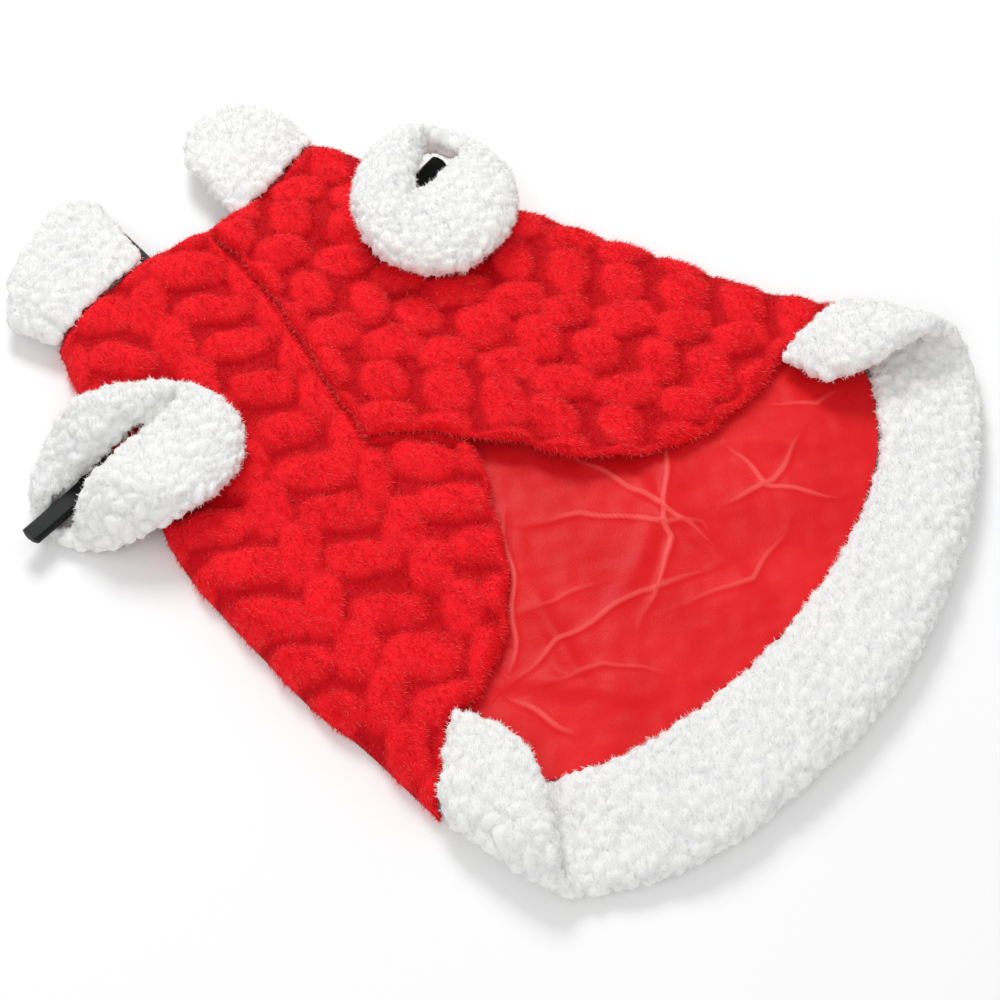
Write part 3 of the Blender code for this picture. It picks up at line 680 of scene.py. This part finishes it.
def curly_pile(node, spacing, start, seed):
    """A strip or roll of pile in the room its solid holds: close-set curls over a soft form."""
    even = even_form(node, spacing)
    bm = bmesh.new()
    bm.from_mesh(even)
    for _ in range(SMOOTHINGS):
        bmesh.ops.smooth_vert(bm, verts=bm.verts[:], factor=0.5, use_axis_x=True, use_axis_y=True,
                              use_axis_z=True)
    bm.normal_update()
    spots = np.array([v.co for v in bm.verts]) / MM
    ways = np.array([v.normal for v in bm.verts])
    big = tufts(spots, CURL_SIZE, seed)
    small = tufts(spots, CURL_SIZE * SMALL_CURL, seed + 1)
    swell = drift(spots, SWELL_SIZE, seed)
    out = start + CURL_HEIGHT * big + SMALL_CURL_HEIGHT * small + SWELL_HEIGHT * swell
    spots = spots + ways * out[:, None]
    if node in LEANS:
        lean_over(spots, ways, *LEANS[node])
    spots[:, 2] = np.maximum(spots[:, 2], 0.0)
    for vertex, spot in zip(bm.verts, spots * MM):
        vertex.co = spot
    bm.normal_update()
    ways = np.array([v.normal for v in bm.verts])
    mesh = bpy.data.meshes.new(node + "_pile")
    bm.to_mesh(mesh)
    bm.free()
    bpy.data.meshes.remove(even)
    mesh.shade_smooth()
    # The curls' crowns to their creases, which the finish turns into painted shade
    tuft = CURL_SHARE * big + (1.0 - CURL_SHARE) * small
    give_values(mesh, "tuft", tuft)
    return in_scene(node + "_pile", mesh), spots, ways, tuft


# Nap and fuzz: short fibres, joined in one mesh for each piece of cloth

def fibre():
    """One fibre, a closed three-sided spike: its points (across, across, along 0 to 1) and faces."""
    bm = bmesh.new()
    bmesh.ops.create_cone(bm, segments=3, radius1=1.0, radius2=0.0, depth=1.0, cap_ends=True)
    bmesh.ops.remove_doubles(bm, verts=bm.verts[:], dist=1e-4)
    bmesh.ops.translate(bm, verts=bm.verts[:], vec=(0.0, 0.0, 0.5))
    points = np.array([vertex.co for vertex in bm.verts])
    faces = np.array([[vertex.index for vertex in face.verts] for face in bm.faces])
    bm.free()
    return points, faces


def fibres(name, roots, tips, thickness, values, draw):
    """Fibres from roots to tips in metres; a value pair is what a point has at the root and at the tip."""
    points, faces = fibre()
    along = tips - roots
    side = np.cross(along, draw.normal(size=along.shape))
    side /= np.linalg.norm(side, axis=1)[:, None]
    other = np.cross(along, side) / np.linalg.norm(along, axis=1)[:, None]
    across = side[:, None] * points[None, :, 0:1] + other[:, None] * points[None, :, 1:2]
    placed = roots[:, None] + along[:, None] * points[None, :, 2:3] + across * thickness[:, None, None] / 2
    placed[:, :, 2] = np.maximum(placed[:, :, 2], 0.0)
    joined = faces[None] + (np.arange(len(roots)) * len(points))[:, None, None]
    mesh = bpy.data.meshes.new(name)
    mesh.from_pydata(placed.reshape(-1, 3).tolist(), [], joined.reshape(-1, 3).tolist())
    for key, (at_root, at_tip) in values.items():
        value = at_root[:, None] + (at_tip - at_root)[:, None] * points[None, :, 2]
        give_values(mesh, key, value.ravel())
    return in_scene(name, mesh)


def nap_on_face(shown, shade, draw):
    """Roots, ways out of the cloth, leans and painted shade of the nap, brushed towards the tail."""
    over, up = np.gradient(shown, axis=1)[:-1, :-1], np.gradient(shown, axis=0)[:-1, :-1]
    faces = np.cross(over, up)
    faces *= 1.0 if faces[:, :, 2].mean() > 0 else -1.0
    room = np.linalg.norm(faces, axis=2)
    picks = draw.choice(room.size, size=NAP_COUNT, p=(room / room.sum()).ravel())
    row, column = np.divmod(picks, room.shape[1])
    roots = (shown[row, column] + over[row, column] * draw.random((NAP_COUNT, 1))
             + up[row, column] * draw.random((NAP_COUNT, 1)))
    ways = faces[row, column] / room[row, column][:, None]
    leans = NAP_STAND * ways + np.array(NAP_BRUSHED) + NAP_SPREAD * draw.normal(size=(NAP_COUNT, 3))
    return roots, ways, leans, shade[row, column]


def nap_on_edges(shown, draw):
    """Roots, ways out, leans and painted shade of the nap that fans out at a flap's free edges."""
    last, step = -1 - NAP_EDGE_STEP, NAP_EDGE_STEP
    rim = np.concatenate([shown[:, -1], shown[0], shown[-1]])
    outward = np.concatenate([shown[:, -1] - shown[:, last], shown[0] - shown[step],
                              shown[-1] - shown[last]])
    outward /= np.linalg.norm(outward, axis=1)[:, None]
    picks = draw.choice(len(rim), size=NAP_EDGE_COUNT)
    roots = rim[picks] - outward[picks] * draw.uniform(0.0, NAP_EDGE_DEPTH, (NAP_EDGE_COUNT, 1))
    leans = outward[picks] + NAP_EDGE_SPREAD * draw.normal(size=(NAP_EDGE_COUNT, 3))
    return roots, outward[picks], leans, np.full(NAP_EDGE_COUNT, NAP_EDGE_PAINTED_SHADE)


def nap(name, shown, shade, seed):
    """A flap's nap: shorter in the creases, with the creases' painted shade, and a painted highlight on some
    tips, most often on the pads' slopes.
    """
    draw = np.random.default_rng(seed)
    on_face = nap_on_face(shown, shade, draw)
    on_edges = nap_on_edges(shown, draw)
    roots, ways, leans, tone = [np.concatenate(pair) for pair in zip(on_face, on_edges)]
    total = len(tone)
    leans /= np.linalg.norm(leans, axis=1)[:, None]
    reach = draw.uniform(*NAP_LENGTH, (total, 1)) * (NAP_LOW_SHARE + (1.0 - NAP_LOW_SHARE) * tone[:, None])
    thickness = draw.uniform(*NAP_THICKNESS, total)
    chance = TIP_HIGHLIGHT_CHANCE + TIP_HIGHLIGHT_SLOPE_CHANCE * (tone * (1.0 - tone))
    # Painted highlight: some fibre tips turn pale pink
    pale = np.where(draw.random(total) < chance, draw.uniform(TIP_HIGHLIGHT_LEAST, 1.0, total), 0.0)
    tone = np.clip(tone + draw.uniform(*NAP_TONE_VARIES, total), 0.0, 1.0)
    # Painted shade: each fibre takes the crease shade where it grows, darker at its root
    values = {"shade": (NAP_ROOT_PAINTED_SHADE * tone, tone), "pale": (np.zeros(total), pale)}
    return fibres(name, to_world(roots - NAP_ROOT_DEPTH * ways), to_world(roots + leans * reach),
                  thickness * MM, values, draw)


def fuzz(name, spots, ways, tuft, count, seed):
    """The loose fibres of the curly pile, standing every way, except where it rests on the surface."""
    draw = np.random.default_rng(seed)
    free = np.flatnonzero((spots[:, 2] > FUZZ_LOWEST) & (ways[:, 2] > FUZZ_MOST_DOWN))
    picks = draw.choice(free, size=count)
    roots = spots[picks] + FUZZ_ROOT_STRAY * draw.normal(size=(count, 3))
    leans = FUZZ_STAND * ways[picks] + FUZZ_SPREAD * draw.normal(size=(count, 3))
    leans /= np.linalg.norm(leans, axis=1)[:, None]
    reach = draw.uniform(*FUZZ_LENGTH, (count, 1))
    thickness = draw.uniform(*FUZZ_THICKNESS, count)
    # Painted shade: each fibre takes the shade of the crease it grows from, darker at its root
    tone = np.clip(tuft[picks] + draw.uniform(*FUZZ_TONE_VARIES, count), 0.0, 1.0)
    values = {"tuft": (tone, np.minimum(tone + FUZZ_ROOT_PAINTED_SHADE, 1.0))}
    return fibres(name, (roots - FUZZ_ROOT_DEPTH * ways[picks]) * MM, (roots + leans * reach) * MM,
                  thickness * MM, values, draw)


# Materials

def begin(name):
    """A new material with its node tree and its shader."""
    made = bpy.data.materials.new(name)
    made.use_nodes = True
    tree = made.node_tree
    return made, tree, tree.nodes["Principled BSDF"]


def fill_inputs(tree, node, inputs):
    """Link or set a node's inputs, each by its name or its number."""
    for key, value in inputs.items():
        if isinstance(value, bpy.types.NodeSocket):
            tree.links.new(value, node.inputs[key])
        else:
            node.inputs[key].default_value = value


def put(tree, kind, settings, inputs):
    """A new node in a tree."""
    node = tree.nodes.new("ShaderNode" + kind)
    for key, value in settings.items():
        setattr(node, key, value)
    fill_inputs(tree, node, inputs)
    return node


def object_place(tree):
    return put(tree, "TexCoord", {}, {}).outputs["Object"]


def point_value(tree, name):
    return put(tree, "Attribute", {"attribute_name": name}, {}).outputs["Fac"]


def mix(tree, factor, first, second):
    return put(tree, "Mix", {"data_type": "RGBA"}, {0: factor, 6: first, 7: second}).outputs[2]


def noise(tree, where, scale, detail=2.0, roughness=0.5, stretch=None):
    """Cloudy noise, with so many clouds in a metre, stretched where a stretch is given."""
    if stretch:
        where = put(tree, "Mapping", {}, {"Vector": where, "Scale": stretch}).outputs["Vector"]
    inputs = {"Vector": where, "Scale": scale, "Detail": detail, "Roughness": roughness}
    return put(tree, "TexNoise", {}, inputs).outputs["Fac"]


def span(tree, value, low, high, to_low=0.0, to_high=1.0):
    """A value from low to high, eased into a new span."""
    inputs = {"Value": value, "From Min": low, "From Max": high, "To Min": to_low, "To Max": to_high}
    return put(tree, "MapRange", {"interpolation_type": "SMOOTHSTEP"}, inputs).outputs["Result"]


def math_of(tree, operation, first, second):
    return put(tree, "Math", {"operation": operation}, {0: first, 1: second}).outputs[0]


def bump(tree, height, strength, distance):
    inputs = {"Height": height, "Strength": strength, "Distance": distance}
    return put(tree, "Bump", {}, inputs).outputs["Normal"]


def red_plush():
    """Red plush with painted shade in its creases, deeper where it is brushed the other way, and a painted
    highlight on some fibre tips.
    """
    made, tree, shader = begin("red_plush")
    where = object_place(tree)
    shade, pale = point_value(tree, "shade"), point_value(tree, "pale")
    pile = noise(tree, where, scale=620.0, detail=3.0, roughness=0.65)
    brushed = noise(tree, where, scale=105.0, detail=4.0, roughness=0.7, stretch=(1.0, 0.55, 1.0))
    # Painted shade: the shade value darkens the red towards the creases between the pads
    painted_crease_shade = mix(tree, span(tree, shade, low=0.0, high=0.65), PLUSH_CREASE_PAINTED_SHADE, PLUSH_RAISED)
    uneven = mix(tree, span(tree, brushed, low=0.42, high=0.7, to_high=0.55), painted_crease_shade, PLUSH_BRUSHED)
    fill_inputs(tree, shader, {
        # Painted highlight on the nap's tips
        "Base Color": mix(tree, pale, uneven, PLUSH_TIP_PAINTED_HIGHLIGHT),
        "Roughness": 0.7,
        "Sheen Weight": 0.15,
        "Sheen Roughness": 0.4,
        "Sheen Tint": PLUSH_SHEEN,
        "Specular IOR Level": 0.1,
        "Normal": bump(tree, pile, strength=0.6, distance=0.0008),
    })
    return made


def red_satin():
    """Thin red satin with a fine weave, small wrinkles and a painted highlight along its creases."""
    made, tree, shader = begin("red_satin")
    where = object_place(tree)
    crease = point_value(tree, "crease")
    cloud = noise(tree, where, scale=22.0, detail=3.0, roughness=0.55)
    wrinkle = noise(tree, where, scale=120.0, detail=4.0, roughness=0.6, stretch=(1.0, 0.45, 1.0))
    weave = noise(tree, where, scale=1500.0, detail=1.0)
    base = mix(tree, span(tree, cloud, low=0.3, high=0.7), SATIN_DEEP, SATIN_LIGHT)
    # Painted highlight along the creases
    painted_crease_highlight = span(tree, crease, low=0.35, high=1.0, to_high=0.6)
    height = math_of(tree, "ADD", wrinkle, math_of(tree, "MULTIPLY", weave, 0.25))
    fill_inputs(tree, shader, {
        "Base Color": mix(tree, painted_crease_highlight, base, SATIN_CREASE_HIGHLIGHT),
        "Roughness": 0.42,
        "Specular IOR Level": 0.13,
        "Normal": bump(tree, height, strength=0.35, distance=0.0012),
    })
    return made


def white_pile():
    """White curly pile, with painted shade between its curls."""
    made, tree, shader = begin("white_pile")
    where = object_place(tree)
    tuft = point_value(tree, "tuft")
    curl = noise(tree, where, scale=700.0, detail=4.0, roughness=0.7)
    cloud = noise(tree, where, scale=30.0)
    crown = mix(tree, span(tree, cloud, low=0.35, high=0.65), PILE_CREAM, PILE_WHITE)
    fill_inputs(tree, shader, {
        # Painted shade: grey in the creases between the curls
        "Base Color": mix(tree, span(tree, tuft, low=0.05, high=0.75), PILE_PAINTED_CREASE_SHADE, crown),
        "Roughness": 0.95,
        "Sheen Weight": 0.35,
        "Specular IOR Level": 0.15,
        "Normal": bump(tree, curl, strength=0.7, distance=0.0012),
    })
    return made


def black_plastic():
    """Black moulded plastic with a fine grain."""
    made, tree, shader = begin("black_plastic")
    where = object_place(tree)
    grain = noise(tree, where, scale=900.0)
    haze = noise(tree, where, scale=45.0, detail=3.0, roughness=0.6)
    fill_inputs(tree, shader, {
        "Base Color": mix(tree, span(tree, haze, low=0.35, high=0.7), PLASTIC_DEEP, PLASTIC_LIGHT),
        "Roughness": span(tree, haze, low=0.3, high=0.7, to_low=0.42, to_high=0.52),
        "Specular IOR Level": 0.13,
        "Normal": bump(tree, grain, strength=0.12, distance=0.0003),
    })
    return made


def pale_floor():
    """The pale floor."""
    made, tree, shader = begin("pale_floor")
    cloud = noise(tree, object_place(tree), scale=3.0)
    fill_inputs(tree, shader, {"Base Color": mix(tree, cloud, FLOOR_DEEP, FLOOR_LIGHT), "Roughness": 0.9})
    return made


# The garment

def finish_piece(piece, finish, slot, *nodes):
    """Give a piece its finish, hide the solids of the nodes it stands for and hang it on the root body; its
    slot is not used.
    """
    piece.data.materials.append(finish)
    if nodes:
        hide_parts(*nodes)
    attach(piece, "root")


def dress_back(plush, shine):
    """The back panel and the lining on it."""
    shown, plain, raised = back_plush()
    # Painted shade: the pads' height, 1 on the pads to 0 in the creases, darkens the creases
    back = grid_piece("back_panel_plush", shown, {"shade": raised}, turn_over=True)
    thicken(back, BACK_CLOTH)
    finish_piece(back, plush, "red_plush", "back_panel")

    shown, painted_crease_highlight = satin()
    lining = grid_piece("back_lining_satin", shown, {"crease": painted_crease_highlight})
    thicken(lining, LINING_WALL)
    finish_piece(lining, shine, "red_satin", "back_lining")


def dress_flaps(plush):
    """The two front flaps with their nap."""
    flaps = (
        ("left", (LEFT_SIDE, LEFT_FRONT, LEFT_LOWER, LEFT_UPPER), left_inside, under_overlap, (0.215, 0.325)),
        ("right", (RIGHT_FLAP_SIDE, RIGHT_FRONT, RIGHT_LOWER, RIGHT_UPPER), right_inside, all_raised,
         (0.225, 0.300)),
    )
    for seed, (which, edges, inside, mask, size) in enumerate(flaps):
        shown, plain, shade = flap(which, edges, inside, mask)
        piece = grid_piece("flap_" + which + "_plush", shown, {"shade": shade}, turn_over=which == "right")
        thicken(piece, FLAP_CLOTH)
        finish_piece(piece, plush, "red_plush", "flap_" + which)
        brushed = nap("flap_" + which + "_nap", shown, shade, seed)
        finish_piece(brushed, plush, "red_plush")


def dress_pile(pile):
    """The hem band, the collar's halves and the cuffs, with their loose fibres."""
    for node, spacing, start, count, seed in PILES:
        piece, spots, ways, tuft = curly_pile(node, spacing, start, float(seed))
        finish_piece(piece, pile, "white_pile", node)
        loose = fuzz(node + "_fuzz", spots, ways, tuft, count, seed)
        finish_piece(loose, pile, "white_pile")


def dress_hanger(plastic):
    """The hanger keeps the solid's own mesh."""
    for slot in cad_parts["hanger"].material_slots:
        slot.material = plastic


def studio():
    """A pale floor, an even sky and two soft lamps."""
    floor_mesh = bpy.data.meshes.new("floor")
    bm = bmesh.new()
    bmesh.ops.create_grid(bm, x_segments=8, y_segments=8, size=FLOOR_HALF)
    bm.to_mesh(floor_mesh)
    bm.free()
    floor = in_scene("floor", floor_mesh)
    floor.data.materials.append(pale_floor())

    world = bpy.data.worlds.new("studio")
    bpy.context.scene.world = world
    world.use_nodes = True
    background = world.node_tree.nodes["Background"]
    fill_inputs(world.node_tree, background, {"Color": SKY, "Strength": SKY_STRENGTH})
    for name, place, width, watts in LAMPS:
        light = bpy.data.lights.new(name, "AREA")
        light.shape = "DISK"
        light.size = width
        light.energy = watts
        lamp = in_scene(name, light)
        lamp.location = place
        lamp.rotation_euler = (-Vector(place)).to_track_quat("-Z", "Y").to_euler()
    bpy.context.scene.view_settings.view_transform = "Standard"


def camera():
    """The photograph's camera."""
    level = math.cos(CAMERA_DOWN)
    ahead = Vector((math.sin(CAMERA_ROUND) * level, math.cos(CAMERA_ROUND) * level, -math.sin(CAMERA_DOWN)))
    data = bpy.data.cameras.new("camera")
    data.sensor_width = SENSOR_WIDTH
    data.lens = FOCAL_PIXELS / FRAME_PIXELS * SENSOR_WIDTH
    data.clip_end = CAMERA_FARTHEST
    holder = in_scene("camera", data)
    target = Vector(to_world([LOOK_AT[0], LOOK_AT[1], 0.0]))
    holder.location = target - ahead * CAMERA_DISTANCE
    holder.rotation_euler = ahead.to_track_quat("-Z", "Y").to_euler()
    bpy.context.scene.camera = holder


camera()
plush_finish = red_plush()
dress_back(plush_finish, red_satin())
dress_flaps(plush_finish)
dress_pile(white_pile())
dress_hanger(black_plastic())
studio()
